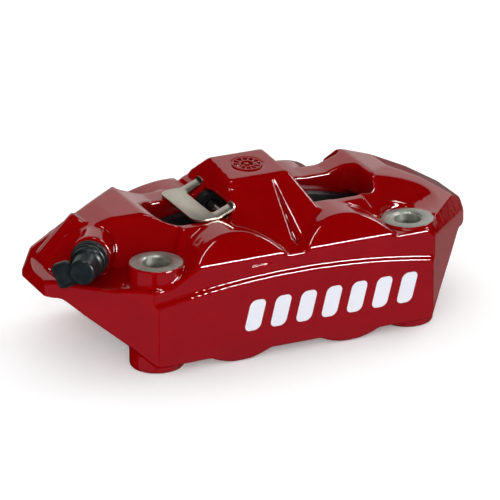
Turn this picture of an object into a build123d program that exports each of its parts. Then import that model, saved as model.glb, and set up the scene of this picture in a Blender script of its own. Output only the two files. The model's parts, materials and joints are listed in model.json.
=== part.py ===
from build123d import *
import os
from math import cos, radians, sin

# Four-piston fixed brake caliper for a radial mount.
# +X runs along the caliper, +Y from the outboard half to the inboard half (the disc axis),
# +Z away from the disc centre. The origin is midway between the two mounting bolts, on the
# plane of the boss feet. Millimetres.

os.makedirs("parts", exist_ok=True)

# ---------------------------------------------------------------- driving dimensions
BOLT_SPACING = 100.0
BOLT_BORE_R = 5.25
BOSS_R = 10.0
BOSS_TOP = 39.3

DISC_RADIUS = 160.0
DISC_THICKNESS = 5.0
DISC_MID_Y = 24.0
DISC_TOP = 42.0
DISC_CLEARANCE = 2.5
SLOT_WIDTH = 11.0

PISTON_R = 15.95
BORE_R = 16.0
PISTON_X = 21.75
PISTON_Z = 23.5
PISTON_LENGTH = 17.0

FRONT_Y = -12.5
REAR_Y = 60.5
OUTBOARD_WALL_Y = 12.0
INBOARD_WALL_Y = 36.0
HOUSING_R = 23.5
RIM_Z = PISTON_Z + HOUSING_R

BACKING_THICKNESS = 4.0
FRICTION_THICKNESS = 4.0
PAD_GAP = 0.5

# ---------------------------------------------------------------- derived places
DISC_CENTRE_Z = DISC_TOP - DISC_RADIUS
CHANNEL_R = DISC_RADIUS + DISC_CLEARANCE
BOLT_X = BOLT_SPACING / 2
FRICTION_OUT_Y = DISC_MID_Y - DISC_THICKNESS / 2 - PAD_GAP
BACKING_OUT_Y = FRICTION_OUT_Y - FRICTION_THICKNESS
PAD_OUT_Y = BACKING_OUT_Y - BACKING_THICKNESS
BODY_DEPTH = REAR_Y - FRONT_Y
TOOL_REACH = 120.0


def mirrored_y(y):
    """The same place on the other side of the disc."""
    return 2 * DISC_MID_Y - y


def plane_through(first, second, third):
    """A plane through three points, its normal pointing up."""
    normal = (Vector(*second) - Vector(*first)).cross(Vector(*third) - Vector(*first))
    if normal.Z < 0:
        normal = normal * -1
    return Plane(origin=first, z_dir=normal)


def front_plane(y):
    """A sketch plane facing the front at depth y, with +X right and +Z up."""
    return Plane(origin=(0, y, 0), x_dir=(1, 0, 0), z_dir=(0, -1, 0))


# ---------------------------------------------------------------- caliper body: outer form
TIP_X = 84.6
CORNER_X = 54.4
RIDGE_X = 46.4
RIDGE_Z = 50.6
BELLY_Z = 3.2
DECK_Z = RIM_Z - 0.4
STOCK_TOP = 70.0
TOOL_HEIGHT = 80.0

PLAN = [
    (-CORNER_X, FRONT_Y), (CORNER_X, FRONT_Y), (TIP_X, 21.0), (TIP_X, 42.5),
    (70.0, REAR_Y), (-70.0, REAR_Y), (-TIP_X, 42.5), (-TIP_X, 21.0),
]
HALF_OUTLINE = [
    (0.0, BELLY_Z), (CORNER_X, BELLY_Z), (62.6, 10.3), (72.5, 18.0), (79.3, 23.8), (TIP_X, 23.7),
    (TIP_X, 33.2), (70.0, 42.2), (56.0, 48.6), (RIDGE_X, RIDGE_Z), (40.5, 48.3), (35.5, DECK_Z), (0.0, DECK_Z),
]

# upper facets of the right wing, and the wall behind the ledge of the left wing
UPPER_FACET = plane_through((60.1, 0.0, 39.5), (68.6, 26.0, 42.5), (46.8, 20.0, 50.0))
SIDE_FACET = plane_through((54.2, -12.0, 36.2), (84.6, 21.0, 29.5), (67.2, 6.5, 38.1))
REAR_FACETS = [
    plane_through((side * RIDGE_X, 47.8, RIDGE_Z), (side * TIP_X, 42.5, 33.2), (side * 60.0, REAR_Y, 34.0))
    for side in (-1, 1)
]
LEFT_END_FACET = plane_through((-66.0, 42.5, 45.0), (-80.0, 42.5, 31.2), (-74.6, 28.0, 39.8))
LEDGE_WALL = plane_through((-47.0, 18.3, 50.3), (-80.0, 32.5, 36.0), (-62.0, 19.0, 32.0))

SHELF_Z = 38.2
SHELF_BACK_Y = 0.5
LIP_Y = 7.0
SHELF_LEFT_X = -42.0
SHELF_RIGHT_X = 61.3
REAR_SHELF_Z = 40.5
REAR_SHELF_FRONT_Y = 47.0
REAR_SHELF_HALF_X = 45.0
SCOOP_R = 24.0
SCOOP_TURN = 30.0
SCOOP_FLOOR = 38.8
SCOOP_DEPTH = 52.0
LEDGE_DEPTH = 60.0
LEDGE_END_X = -79.6
WING_CUT_START_Y = FRONT_Y - 8
WING_CUT_TOP = 62.0

with BuildPart() as scoop:
    with BuildSketch(front_plane(WING_CUT_START_Y)):
        with BuildLine():
            Polyline((40.5, SHELF_Z), (29.0, WING_CUT_TOP), (90.0, WING_CUT_TOP), (90.0, SHELF_Z), close=True)
        make_face()
    extrude(amount=-SCOOP_DEPTH)
    scoop_dir = (cos(radians(SCOOP_TURN)), sin(radians(SCOOP_TURN)), 0)
    scoop_centre = (BOLT_X + 1.0, -1.7, SCOOP_FLOOR + SCOOP_R)
    with BuildSketch(Plane(origin=scoop_centre, z_dir=scoop_dir)):
        Circle(SCOOP_R)
    extrude(amount=TOOL_REACH, both=True, mode=Mode.INTERSECT)

with BuildPart() as ledge:
    with BuildSketch(front_plane(WING_CUT_START_Y)):
        with BuildLine():
            Polyline(
                (-40.5, SHELF_Z), (-49.0, 33.3), (-60.0, 32.3), (-66.0, 30.8), (LEDGE_END_X, 30.2),
                (LEDGE_END_X, WING_CUT_TOP), (-29.0, WING_CUT_TOP), close=True,
            )
        make_face()
    extrude(amount=-LEDGE_DEPTH)
    split(bisect_by=LEDGE_WALL, keep=Keep.TOP)

with BuildPart() as left_tip_cut:
    with BuildSketch(front_plane(WING_CUT_START_Y)):
        with BuildLine():
            Polyline(
                (LEDGE_END_X, 31.0), (LEDGE_END_X - 10, 28.2), (LEDGE_END_X - 10, WING_CUT_TOP),
                (LEDGE_END_X, WING_CUT_TOP), close=True,
            )
        make_face()
    extrude(amount=-(BODY_DEPTH + 16))

# piston housings, their outer top edges cut back at about 45 degrees
HOUSING_EDGE_Z = 38.0
REAR_HOUSING_EDGE_Z = 42.0
with BuildPart() as housings:
    with BuildSketch(front_plane(FRONT_Y)):
        with Locations((-PISTON_X, PISTON_Z), (PISTON_X, PISTON_Z)):
            Circle(HOUSING_R)
    extrude(amount=-(OUTBOARD_WALL_Y - FRONT_Y))
    with BuildSketch(front_plane(INBOARD_WALL_Y)):
        with Locations((-PISTON_X, PISTON_Z), (PISTON_X, PISTON_Z)):
            Circle(HOUSING_R)
    extrude(amount=-(REAR_Y - INBOARD_WALL_Y))
    split(bisect_by=Plane(origin=(0, FRONT_Y, HOUSING_EDGE_Z), z_dir=(0, -1, 1)), keep=Keep.BOTTOM)
    split(bisect_by=Plane(origin=(0, REAR_Y, REAR_HOUSING_EDGE_Z), z_dir=(0, 1, 1)), keep=Keep.BOTTOM)

# central bridge: side profile, front profile and plan, each trimming the last
FOOT_Z = 36.4
PLATEAU_FRONT = (20.5, 56.8)
PLATEAU_BACK = (41.5, 58.4)
with BuildPart() as bridge:
    with BuildSketch(Plane.YZ.offset(-TOOL_REACH / 2)):
        with BuildLine():
            Polyline(
                (FRONT_Y, 25.0), (FRONT_Y, FOOT_Z), PLATEAU_FRONT, PLATEAU_BACK,
                (REAR_Y, 42.0), (REAR_Y, 25.0), close=True,
            )
        make_face()
    extrude(amount=TOOL_REACH)
    with BuildSketch(front_plane(FRONT_Y)):
        with BuildLine():
            Polyline(
                (-19.5, 25.0), (-19.5, 43.0), (-16.8, RIM_Z), (-10.2, 60.0),
                (10.2, 60.0), (16.8, RIM_Z), (19.5, 43.0), (19.5, 25.0), close=True,
            )
        make_face()
    extrude(amount=-BODY_DEPTH, mode=Mode.INTERSECT)
    with BuildSketch(Plane.XY):
        with BuildLine():
            Polyline(
                (-4.5, FRONT_Y), (4.5, FRONT_Y), (19.5, 5.0), (19.5, 43.0), (7.0, REAR_Y),
                (-7.0, REAR_Y), (-19.5, 43.0), (-19.5, 5.0), close=True,
            )
        make_face()
    extrude(amount=TOOL_HEIGHT, mode=Mode.INTERSECT)

# bleeder boss on the left wing and fluid inlet boss behind it
BLEED_DIR = Vector(-0.57, -0.82, 0).normalized()
BLEED_RIM = Vector(-68.0, 17.0, 38.0)
BLEED_BOSS_R = 7.5
BLEED_BOSS_LENGTH = 13.0
INLET_DIR = Vector(-0.3, 0.954, 0).normalized()
INLET_RIM = Vector(-62.6, 63.6, 24.0)
INLET_BOSS_R = 7.7
INLET_BOSS_LENGTH = 16.0
# rounded boss that runs down the left end, half sunk in it
END_BOSS_START = Vector(-61.5, 36.8, 42.7)
END_BOSS_DIR = Vector(-0.71, 0, -0.70).normalized()
END_BOSS_R = 6.6
END_BOSS_LENGTH = 20.0
SPOT_FACE_R = 10.4


def along(origin, direction, distance):
    """A sketch plane across an axis, at a distance along it."""
    return Plane(origin=origin + direction * distance, z_dir=direction)


# ---------------------------------------------------------------- caliper body: hollows
CAVITY_HALF_X = 49.0
CAVITY_MID_Z = 14.5
WINDOW_CUT_Z = 30.0
WINDOW_IN_X = 14.5
LEFT_WINDOW_OUT_X = 42.4
RIGHT_WINDOW_OUT_X = 44.6
WINDOW_CORNER_R = 7.2
EAR_POCKET = (-20.0, -8.2, 49.4)
BORE_DEPTH = 19.0
SEAL_GROOVE_R = 18.4
SEAL_GROOVE_W = 3.2
SEAL_INSET = 6.6
DUST_GROOVE_R = 17.6
DUST_GROOVE_W = 2.2
DUST_INSET = 2.0
PIN_X = -14.0
PIN_Z = 43.5
PIN_R = 2.5
PIN_FIT = 0.05
PIN_TIP_Y = 5.5
PIN_BOSS_R = 6.0
PIN_BOSS_END_Y = 51.4
PIN_HEAD_R = 4.2
PIN_HEAD_Y = 46.8
PIN_HEAD_LENGTH = 2.4
PIN_POCKET_R = 4.5
CLIP_Y = 49.4
CLIP_THICKNESS = 1.0
CLIP_GROOVE_R = 5.3
THREAD_R = 5.0
BLEED_BORE_LENGTH = 9.0
INLET_PORT_LENGTH = 11.0
GALLERY_R = 1.5
RISER_R = 1.3
SLANT_R = 1.1
CHAMBER_Y = -5.6
CROSSOVER_Z = 48.4
PLUG_R = 2.5
PLUG_LENGTH = 4.0
REAR_PLUG_Y = 52.0

PISTONS = {
    "outboard_piston_left": (-PISTON_X, OUTBOARD_WALL_Y, -1),
    "outboard_piston_right": (PISTON_X, OUTBOARD_WALL_Y, -1),
    "inboard_piston_left": (-PISTON_X, INBOARD_WALL_Y, 1),
    "inboard_piston_right": (PISTON_X, INBOARD_WALL_Y, 1),
}


def into_bore(x, wall_y, inward, depth):
    """A sketch plane across a piston bore at a depth from its mouth, facing the bore's floor."""
    return Plane(origin=(x, wall_y + inward * depth, PISTON_Z), x_dir=(1, 0, 0), z_dir=(0, inward, 0))


with BuildPart() as cavity:
    with BuildSketch(front_plane(OUTBOARD_WALL_Y)):
        with Locations((0, DISC_CENTRE_Z)):
            Circle(CHANNEL_R)
        with Locations((0, CAVITY_MID_Z)):
            Rectangle(2 * CAVITY_HALF_X, TOOL_HEIGHT, mode=Mode.INTERSECT)
    extrude(amount=-(INBOARD_WALL_Y - OUTBOARD_WALL_Y))
    with BuildSketch(front_plane(DISC_MID_Y - SLOT_WIDTH / 2)):
        with Locations((0, DISC_CENTRE_Z)):
            Circle(CHANNEL_R)
        with Locations((0, CAVITY_MID_Z)):
            Rectangle(2 * TOOL_REACH, TOOL_HEIGHT, mode=Mode.INTERSECT)
    extrude(amount=-SLOT_WIDTH)

with BuildPart() as windows:
    with BuildSketch(Plane.XY.offset(WINDOW_CUT_Z)):
        for outer_x in (-LEFT_WINDOW_OUT_X, RIGHT_WINDOW_OUT_X):
            inner_x = WINDOW_IN_X if outer_x > 0 else -WINDOW_IN_X
            with Locations(((inner_x + outer_x) / 2, DISC_MID_Y)):
                RectangleRounded(abs(outer_x - inner_x), INBOARD_WALL_Y - OUTBOARD_WALL_Y, WINDOW_CORNER_R)
    extrude(amount=STOCK_TOP - WINDOW_CUT_Z)
    # room for the pads' ears under the left side of the bridge
    with BuildSketch(front_plane(OUTBOARD_WALL_Y)):
        with Locations(((EAR_POCKET[0] + EAR_POCKET[1]) / 2, EAR_POCKET[2] - 6)):
            Rectangle(EAR_POCKET[1] - EAR_POCKET[0], 12)
    extrude(amount=-(INBOARD_WALL_Y - OUTBOARD_WALL_Y))

with BuildPart() as bores:
    for bore_x, wall_y, inward in PISTONS.values():
        with BuildSketch(into_bore(bore_x, wall_y, inward, 0)):
            Circle(BORE_R)
        extrude(amount=BORE_DEPTH)
        with BuildSketch(into_bore(bore_x, wall_y, inward, SEAL_INSET)):
            Circle(SEAL_GROOVE_R)
        extrude(amount=SEAL_GROOVE_W)
        with BuildSketch(into_bore(bore_x, wall_y, inward, DUST_INSET)):
            Circle(DUST_GROOVE_R)
        extrude(amount=DUST_GROOVE_W)

# fluid galleries: start point, end point and radius of each drilling
BLEED_END = BLEED_RIM - BLEED_DIR * BLEED_BORE_LENGTH
INLET_END = INLET_RIM - INLET_DIR * INLET_PORT_LENGTH
INBOARD_CHAMBER_Y = mirrored_y(CHAMBER_Y)
GALLERIES = [
    ((-9.0, CHAMBER_Y, PISTON_Z), (9.0, CHAMBER_Y, PISTON_Z), GALLERY_R),
    ((-9.0, INBOARD_CHAMBER_Y, PISTON_Z), (9.0, INBOARD_CHAMBER_Y, PISTON_Z), GALLERY_R),
    ((0, CHAMBER_Y, BELLY_Z - 1), (0, CHAMBER_Y, 36.0), RISER_R),
    ((0, INBOARD_CHAMBER_Y - 1, BELLY_Z - 1), (0, INBOARD_CHAMBER_Y - 1, CROSSOVER_Z), RISER_R),
    ((0, CHAMBER_Y - 0.5, 33.6), (0, OUTBOARD_WALL_Y + 1.0, CROSSOVER_Z + 0.4), SLANT_R),
    ((0, OUTBOARD_WALL_Y - 0.5, CROSSOVER_Z), (0, REAR_Y, CROSSOVER_Z), GALLERY_R),
    (tuple(BLEED_END + BLEED_DIR), (-36.0, 52.5, 31.0), GALLERY_R),
    (tuple(INLET_END + INLET_DIR), (-36.0, 52.5, 29.0), GALLERY_R),
    ((0, CHAMBER_Y, BELLY_Z - 1), (0, CHAMBER_Y, BELLY_Z + PLUG_LENGTH), PLUG_R),
    ((0, INBOARD_CHAMBER_Y - 1, BELLY_Z - 1), (0, INBOARD_CHAMBER_Y - 1, BELLY_Z + PLUG_LENGTH), PLUG_R),
    ((0, REAR_PLUG_Y - PLUG_LENGTH, CROSSOVER_Z), (0, REAR_Y, CROSSOVER_Z), PLUG_R),
]


def drill_plane(start, end):
    """A sketch plane at the start of a drilling, facing its end."""
    return Plane(origin=start, z_dir=Vector(*end) - Vector(*start))


with BuildPart() as drillings:
    for start, end, radius in GALLERIES:
        with BuildSketch(drill_plane(start, end)):
            Circle(radius)
        extrude(amount=(Vector(*end) - Vector(*start)).length)
    # threaded ports of the bleed screw and the brake hose
    with BuildSketch(along(BLEED_RIM, BLEED_DIR, -BLEED_BORE_LENGTH)):
        Circle(THREAD_R)
    extrude(amount=BLEED_BORE_LENGTH)
    with BuildSketch(along(INLET_RIM, INLET_DIR, -INLET_PORT_LENGTH)):
        Circle(THREAD_R)
    extrude(amount=INLET_PORT_LENGTH)
    # pad pin: reamed bore, head pocket and circlip groove
    for y_from, y_to, radius in (
        (PIN_TIP_Y - 1, REAR_Y, PIN_R + PIN_FIT),
        (PIN_HEAD_Y - 0.2, REAR_Y, PIN_POCKET_R),
        (CLIP_Y - PIN_FIT, CLIP_Y + CLIP_THICKNESS + PIN_FIT, CLIP_GROOVE_R),
    ):
        with BuildSketch(front_plane(y_from)):
            with Locations((PIN_X, PIN_Z)):
                Circle(radius)
        extrude(amount=-(y_to - y_from))
    # mounting bolt bores, chamfered at the spot faces
    with BuildSketch(Plane.XY.offset(-1)):
        with Locations((-BOLT_X, 0), (BOLT_X, 0)):
            Circle(BOLT_BORE_R)
    extrude(amount=BOSS_TOP + 2)
    with Locations((-BOLT_X, 0, BOSS_TOP), (BOLT_X, 0, BOSS_TOP)):
        Cone(BOLT_BORE_R - 1.2, BOLT_BORE_R + 2, 3.2)


# ---------------------------------------------------------------- caliper body
BAND_DEPTH = 1.2
BAND_CUT_HEIGHT = 44.0
STEP_MID_Z = 31.9
STEP_END_Z = 27.0
CREASE_MID_Z = 9.7
CREASE_END_Z = 5.8
CREASE_SET_BACK = 1.8


def arc_radius(mid_z, end_z):
    """Radius of the arc that rises from end_z at the front corners to mid_z in the middle."""
    rise = mid_z - end_z
    return (CORNER_X ** 2 + rise ** 2) / (2 * rise)


STEP_R = arc_radius(STEP_MID_Z, STEP_END_Z)
CREASE_R = arc_radius(CREASE_MID_Z, CREASE_END_Z)

with BuildPart() as front_cut:
    # band above the panel, set back behind it
    with BuildSketch(front_plane(FRONT_Y - 1)):
        with Locations((0, STEP_MID_Z)):
            Rectangle(2 * TOOL_REACH, BAND_CUT_HEIGHT)
        with Locations((0, STEP_MID_Z - STEP_R)):
            Circle(STEP_R, mode=Mode.SUBTRACT)
    extrude(amount=-(1 + BAND_DEPTH))
    # lower edge of the panel, leaning back below its crease
    with BuildSketch(Plane.YZ):
        with BuildLine():
            Polyline(
                (FRONT_Y - 1, CREASE_MID_Z), (FRONT_Y, CREASE_MID_Z), (FRONT_Y + CREASE_SET_BACK, CREASE_MID_Z - 12),
                (FRONT_Y - 1, CREASE_MID_Z - 12), close=True,
            )
        make_face()
    crease_axis = Axis((0, 0, CREASE_MID_Z - CREASE_R), (0, 1, 0))
    revolve(axis=crease_axis, revolution_arc=20)
    mirror(about=Plane.YZ)

EMBLEM_Y = 31.0
EMBLEM_R = 5.6
EMBLEM_DEPTH = 0.7
plateau_rise = (PLATEAU_BACK[1] - PLATEAU_FRONT[1]) / (PLATEAU_BACK[0] - PLATEAU_FRONT[0])
EMBLEM_Z = PLATEAU_FRONT[1] + (EMBLEM_Y - PLATEAU_FRONT[0]) * plateau_rise
EMBLEM_PLANE = Plane(origin=(0, EMBLEM_Y, EMBLEM_Z), x_dir=(1, 0, 0), z_dir=(0, -plateau_rise, 1))

with BuildPart() as body:
    with BuildSketch(Plane.XY):
        with BuildLine():
            Polyline(*PLAN, close=True)
        make_face()
    extrude(amount=STOCK_TOP)
    with BuildSketch(front_plane(FRONT_Y)):
        with BuildLine():
            Polyline(*HALF_OUTLINE, *[(-x, z) for x, z in reversed(HALF_OUTLINE[1:-1])], close=True)
        make_face()
    extrude(amount=-BODY_DEPTH, mode=Mode.INTERSECT)
    split(bisect_by=UPPER_FACET, keep=Keep.BOTTOM)
    split(bisect_by=SIDE_FACET, keep=Keep.BOTTOM)
    for rear_facet in REAR_FACETS:
        split(bisect_by=rear_facet, keep=Keep.BOTTOM)
    split(bisect_by=LEFT_END_FACET, keep=Keep.BOTTOM)
    # shelf in front of the windows, between the bosses
    with BuildSketch(Plane.YZ.offset(SHELF_LEFT_X)):
        with BuildLine():
            Polyline(
                (FRONT_Y - 2, SHELF_Z), (SHELF_BACK_Y, SHELF_Z), (SHELF_BACK_Y + 4, SHELF_Z + 3),
                (LIP_Y, RIM_Z - 1), (LIP_Y + 1, RIM_Z + 1), (LIP_Y + 1, WING_CUT_TOP),
                (FRONT_Y - 2, WING_CUT_TOP), close=True,
            )
        make_face()
    extrude(amount=SHELF_RIGHT_X - SHELF_LEFT_X, mode=Mode.SUBTRACT)
    # the same behind the windows, between the wings
    with BuildSketch(Plane.YZ.offset(-REAR_SHELF_HALF_X)):
        with BuildLine():
            Polyline(
                (REAR_Y + 2, REAR_SHELF_Z), (REAR_SHELF_FRONT_Y, REAR_SHELF_Z),
                (REAR_SHELF_FRONT_Y - 1, WING_CUT_TOP),
                (REAR_Y + 2, WING_CUT_TOP), close=True,
            )
        make_face()
    extrude(amount=2 * REAR_SHELF_HALF_X, mode=Mode.SUBTRACT)
    add(scoop.part, mode=Mode.SUBTRACT)
    add(ledge.part, mode=Mode.SUBTRACT)
    add(left_tip_cut.part, mode=Mode.SUBTRACT)
    add(housings.part)
    add(bridge.part)
    # mounting bosses
    with BuildSketch(Plane.XY):
        with Locations((-BOLT_X, 0), (BOLT_X, 0)):
            Circle(BOSS_R)
    extrude(amount=BOSS_TOP)
    with BuildSketch(Plane.XY.offset(BOSS_TOP)):
        with Locations((-BOLT_X, 0), (BOLT_X, 0)):
            Circle(SPOT_FACE_R)
    extrude(amount=WING_CUT_TOP - BOSS_TOP, mode=Mode.SUBTRACT)
    # bleeder and inlet bosses, and the rounded boss on the left end
    with BuildSketch(along(BLEED_RIM, BLEED_DIR, -BLEED_BOSS_LENGTH)):
        Circle(BLEED_BOSS_R)
    extrude(amount=BLEED_BOSS_LENGTH)
    with BuildSketch(along(INLET_RIM, INLET_DIR, -INLET_BOSS_LENGTH)):
        Circle(INLET_BOSS_R)
    extrude(amount=INLET_BOSS_LENGTH)
    with BuildSketch(along(END_BOSS_START, END_BOSS_DIR, 0)):
        Circle(END_BOSS_R)
    extrude(amount=END_BOSS_LENGTH)
    # outboard face: band above the panel and leaning lower edge
    add(front_cut.part, mode=Mode.SUBTRACT)
    # pad pin boss at the back
    with BuildSketch(front_plane(INBOARD_WALL_Y)):
        with Locations((PIN_X, PIN_Z)):
            Circle(PIN_BOSS_R)
    extrude(amount=-(PIN_BOSS_END_Y - INBOARD_WALL_Y))
    # channel for the disc and the pads, windows, piston bores and drillings
    add(cavity.part, mode=Mode.SUBTRACT)
    add(windows.part, mode=Mode.SUBTRACT)
    add(bores.part, mode=Mode.SUBTRACT)
    add(drillings.part, mode=Mode.SUBTRACT)
    # cast ring emblem on the bridge
    with BuildSketch(EMBLEM_PLANE):
        Circle(EMBLEM_R)
        Circle(EMBLEM_R - 1.2, mode=Mode.SUBTRACT)
    extrude(amount=-EMBLEM_DEPTH, mode=Mode.SUBTRACT)
    with BuildSketch(EMBLEM_PLANE):
        Circle(EMBLEM_R - 2.4)
        Circle(1.4, mode=Mode.SUBTRACT)
    extrude(amount=-EMBLEM_DEPTH, mode=Mode.SUBTRACT)

body.part.label = "caliper_body"
export_step(body.part, "parts/caliper_body.step")


# ---------------------------------------------------------------- pistons
PISTON_WALL = 3.5
PISTON_FLOOR = 4.0
PAD_TOUCH = 0.1


def piston(name, x, inward):
    """A cup with its open end against the pad."""
    face_y = PAD_OUT_Y - PAD_TOUCH if inward < 0 else mirrored_y(PAD_OUT_Y - PAD_TOUCH)
    with BuildPart() as cup:
        with BuildSketch(Plane(origin=(x, face_y, PISTON_Z), x_dir=(1, 0, 0), z_dir=(0, inward, 0))):
            Circle(PISTON_R)
        extrude(amount=PISTON_LENGTH)
        chamfer(cup.edges().filter_by(GeomType.CIRCLE), length=0.6)
        with BuildSketch(Plane(origin=(x, face_y, PISTON_Z), x_dir=(1, 0, 0), z_dir=(0, inward, 0))):
            Circle(PISTON_R - PISTON_WALL)
        extrude(amount=PISTON_LENGTH - PISTON_FLOOR, mode=Mode.SUBTRACT)
    cup.part.label = name
    export_step(cup.part, f"parts/{name}.step")


# ---------------------------------------------------------------- piston seals
SEAL_SLACK = 0.05


def seal(name, x, wall_y, inward, inset, width, outer_r):
    """A square-cut ring in its groove."""
    with BuildPart() as ring:
        with BuildSketch(into_bore(x, wall_y, inward, inset + SEAL_SLACK)):
            Circle(outer_r - SEAL_SLACK)
            Circle(BORE_R, mode=Mode.SUBTRACT)
        extrude(amount=width - 2 * SEAL_SLACK)
    ring.part.label = name
    export_step(ring.part, f"parts/{name}.step")


for piston_name, (bore_x, wall_y, inward) in PISTONS.items():
    place = piston_name.replace("piston_", "")
    piston(piston_name, bore_x, inward)
    seal(f"pressure_seal_{place}", bore_x, wall_y, inward, SEAL_INSET, SEAL_GROOVE_W, SEAL_GROOVE_R)
    seal(f"dust_seal_{place}", bore_x, wall_y, inward, DUST_INSET, DUST_GROOVE_W, DUST_GROOVE_R)


# ---------------------------------------------------------------- brake pads
PAD_HALF_X = 47.6
PAD_BOTTOM_Z = 4.0
BACKING_TOP_R = DISC_RADIUS + 1.6
FRICTION_HALF_X = 44.0
FRICTION_BOTTOM_Z = 5.5
FRICTION_TOP_R = DISC_RADIUS - 3.0
EAR_R = 5.2
EAR_HOLE_R = PIN_R + 0.35
PAD_SLOT_W = 2.4
PAD_SLOT_DEPTH = 2.6
PAD_CHAMFER = 3.0


def pad_outline(half_x, bottom_z, top_r):
    """Straight bottom and sides under an arc that follows the disc's rim."""
    with Locations((0, DISC_CENTRE_Z)):
        Circle(top_r)
    with Locations((0, bottom_z + TOOL_HEIGHT / 2)):
        Rectangle(2 * half_x, TOOL_HEIGHT, mode=Mode.INTERSECT)


def backing_plate(name, near_y, toward_disc):
    """Steel plate with one ear, which hangs on the pad pin."""
    with BuildPart() as plate:
        with BuildSketch(front_plane(near_y)):
            pad_outline(PAD_HALF_X, PAD_BOTTOM_Z, BACKING_TOP_R)
            with Locations((PIN_X, PIN_Z)):
                Circle(EAR_R)
            with Locations((PIN_X, PIN_Z - 4)):
                Rectangle(2 * EAR_R, 8)
            with Locations((PIN_X, PIN_Z)):
                Circle(EAR_HOLE_R, mode=Mode.SUBTRACT)
        extrude(amount=-toward_disc * BACKING_THICKNESS)
    plate.part.label = name
    export_step(plate.part, f"parts/{name}.step")


def friction_pad(name, near_y, toward_disc):
    """Friction block with chamfered ends and a middle slot, bonded to its backing plate."""
    far_y = near_y + toward_disc * FRICTION_THICKNESS
    bevel_y = far_y - toward_disc * PAD_CHAMFER / 2
    slot_y = far_y - toward_disc * PAD_SLOT_DEPTH
    with BuildPart() as block:
        with BuildSketch(front_plane(near_y)):
            pad_outline(FRICTION_HALF_X, FRICTION_BOTTOM_Z, FRICTION_TOP_R)
        extrude(amount=-toward_disc * FRICTION_THICKNESS)
        with BuildSketch(Plane.XY):
            with BuildLine():
                Polyline(
                    (-FRICTION_HALF_X - 1, near_y), (FRICTION_HALF_X + 1, near_y),
                    (FRICTION_HALF_X + 1, bevel_y), (FRICTION_HALF_X - PAD_CHAMFER, far_y),
                    (PAD_SLOT_W / 2, far_y), (PAD_SLOT_W / 2, slot_y),
                    (-PAD_SLOT_W / 2, slot_y), (-PAD_SLOT_W / 2, far_y),
                    (-FRICTION_HALF_X + PAD_CHAMFER, far_y), (-FRICTION_HALF_X - 1, bevel_y), close=True,
                )
            make_face()
        extrude(amount=DISC_TOP, mode=Mode.INTERSECT)
    block.part.label = name
    export_step(block.part, f"parts/{name}.step")


backing_plate("outboard_backing_plate", PAD_OUT_Y, 1)
backing_plate("inboard_backing_plate", mirrored_y(PAD_OUT_Y), -1)
friction_pad("outboard_friction_pad", BACKING_OUT_Y, 1)
friction_pad("inboard_friction_pad", mirrored_y(BACKING_OUT_Y), -1)


# ---------------------------------------------------------------- pad pin and its circlip
PIN_SOCKET_R = 2.3
PIN_SOCKET_DEPTH = 1.6
CLIP_INNER_R = 3.7
CLIP_GAP = 3.0

with BuildPart() as pad_pin:
    with BuildSketch(front_plane(PIN_TIP_Y)):
        with Locations((PIN_X, PIN_Z)):
            Circle(PIN_R)
    extrude(amount=-(PIN_HEAD_Y - PIN_TIP_Y))
    chamfer(pad_pin.faces().sort_by(Axis.Y)[0].edges(), length=0.6)
    with BuildSketch(front_plane(PIN_HEAD_Y)):
        with Locations((PIN_X, PIN_Z)):
            Circle(PIN_HEAD_R)
    extrude(amount=-PIN_HEAD_LENGTH)
    with BuildSketch(front_plane(PIN_HEAD_Y + PIN_HEAD_LENGTH)):
        with Locations((PIN_X, PIN_Z)):
            RegularPolygon(PIN_SOCKET_R, 6)
    extrude(amount=PIN_SOCKET_DEPTH, mode=Mode.SUBTRACT)
pad_pin.part.label = "pad_pin"
export_step(pad_pin.part, "parts/pad_pin.step")

with BuildPart() as pin_clip:
    with BuildSketch(front_plane(CLIP_Y)):
        with Locations((PIN_X, PIN_Z)):
            Circle(CLIP_GROOVE_R - SEAL_SLACK)
            Circle(CLIP_INNER_R, mode=Mode.SUBTRACT)
        with Locations((PIN_X, PIN_Z + CLIP_GROOVE_R)):
            Rectangle(CLIP_GAP, 2 * CLIP_INNER_R, mode=Mode.SUBTRACT)
    extrude(amount=-CLIP_THICKNESS)
pin_clip.part.label = "pin_clip"
export_step(pin_clip.part, "parts/pin_clip.step")


# ---------------------------------------------------------------- pad spring
SPRING_THICKNESS = 0.8
SPRING_SEAT_Z = RIM_Z + 0.02
SPRING_LEFT_X = -30.5
SPRING_RIGHT_X = -21.6
SPRING_FRONT_Y = 9.6
SPRING_BACK_Y = 42.4
ARM_WIDTH = 5.0
ARM_INSET = 0.4

with BuildPart() as pad_spring:
    with BuildSketch(Plane.XY.offset(SPRING_SEAT_Z)):
        with Locations(((SPRING_LEFT_X + SPRING_RIGHT_X) / 2, DISC_MID_Y)):
            RectangleRounded(SPRING_RIGHT_X - SPRING_LEFT_X, SPRING_BACK_Y - SPRING_FRONT_Y, 1.5)
    extrude(amount=SPRING_THICKNESS)
    for arm_y in (SPRING_FRONT_Y + ARM_INSET, SPRING_BACK_Y - ARM_INSET - ARM_WIDTH):
        with BuildSketch(front_plane(arm_y)):
            with BuildLine():
                Polyline(
                    (SPRING_RIGHT_X - 1, SPRING_SEAT_Z), (-19.4, SPRING_SEAT_Z + 0.4), (-17.0, 49.5),
                    (-15.6, 52.4), (-16.4, 52.8), (-17.7, 50.2), (-19.7, SPRING_SEAT_Z + 1.2),
                    (SPRING_RIGHT_X - 1, SPRING_SEAT_Z + SPRING_THICKNESS), close=True,
                )
            make_face()
        extrude(amount=-ARM_WIDTH)
pad_spring.part.label = "pad_spring"
export_step(pad_spring.part, "parts/pad_spring.step")


# ---------------------------------------------------------------- bleed screw and its rubber cap
SCREW_FIT = 0.05
HEX_R = 5.2
HEX_START = 0.5
HEX_LENGTH = 4.6
NIPPLE_R = 3.0
NIPPLE_END = 13.0
BARB_R = 3.4
BLEED_HOLE_R = 1.1

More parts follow.
